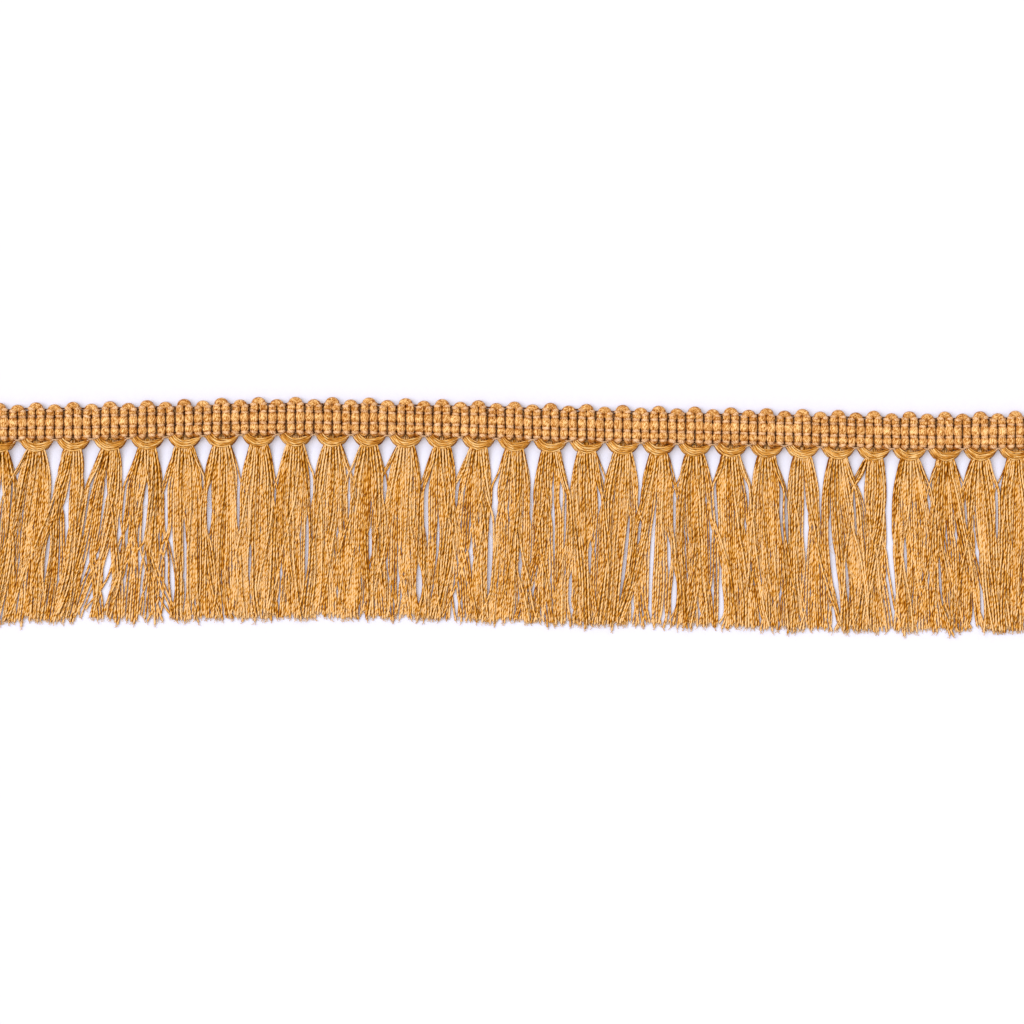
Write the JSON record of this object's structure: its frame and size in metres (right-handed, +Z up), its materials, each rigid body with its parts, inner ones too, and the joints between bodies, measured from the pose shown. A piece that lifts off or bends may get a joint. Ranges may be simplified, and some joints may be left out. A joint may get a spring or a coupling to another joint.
{
  "type": "tassel fringe trim",
  "caption": "Straight length of border trim lying flat: a woven gimp heading with a looped upper edge and a row of small tassels of cut yarn, sewn or glued along a fabric edge.",
  "frame": {"origin": "on the surface that the trim lies on, under the middle of its bounding box", "axes": "+X along the trim, +Y towards the heading's loops, -Y towards the cut ends, +Z up out of the face"},
  "size_m": [0.2627, 0.055, 0.0023],
  "materials": {
    "heading_gimp": "matte",
    "fringe_yarn": "satin"
  },
  "bodies": {
    "root": {"heading": "heading_gimp", "tassel_01": "fringe_yarn", "tassel_02": "fringe_yarn", "tassel_03": "fringe_yarn", "tassel_04": "fringe_yarn", "tassel_05": "fringe_yarn", "tassel_06": "fringe_yarn", "tassel_07": "fringe_yarn", "tassel_08": "fringe_yarn", "tassel_09": "fringe_yarn", "tassel_10": "fringe_yarn", "tassel_11": "fringe_yarn", "tassel_12": "fringe_yarn", "tassel_13": "fringe_yarn", "tassel_14": "fringe_yarn", "tassel_15": "fringe_yarn", "tassel_16": "fringe_yarn", "tassel_17": "fringe_yarn", "tassel_18": "fringe_yarn", "tassel_19": "fringe_yarn", "tassel_20": "fringe_yarn", "tassel_21": "fringe_yarn", "tassel_22": "fringe_yarn", "tassel_23": "fringe_yarn", "tassel_24": "fringe_yarn", "tassel_25": "fringe_yarn", "tassel_26": "fringe_yarn", "tassel_27": "fringe_yarn", "tassel_28": "fringe_yarn", "tassel_29": "fringe_yarn", "tassel_30": "fringe_yarn", "tassel_31": "fringe_yarn"}
  },
  "joints": []
}
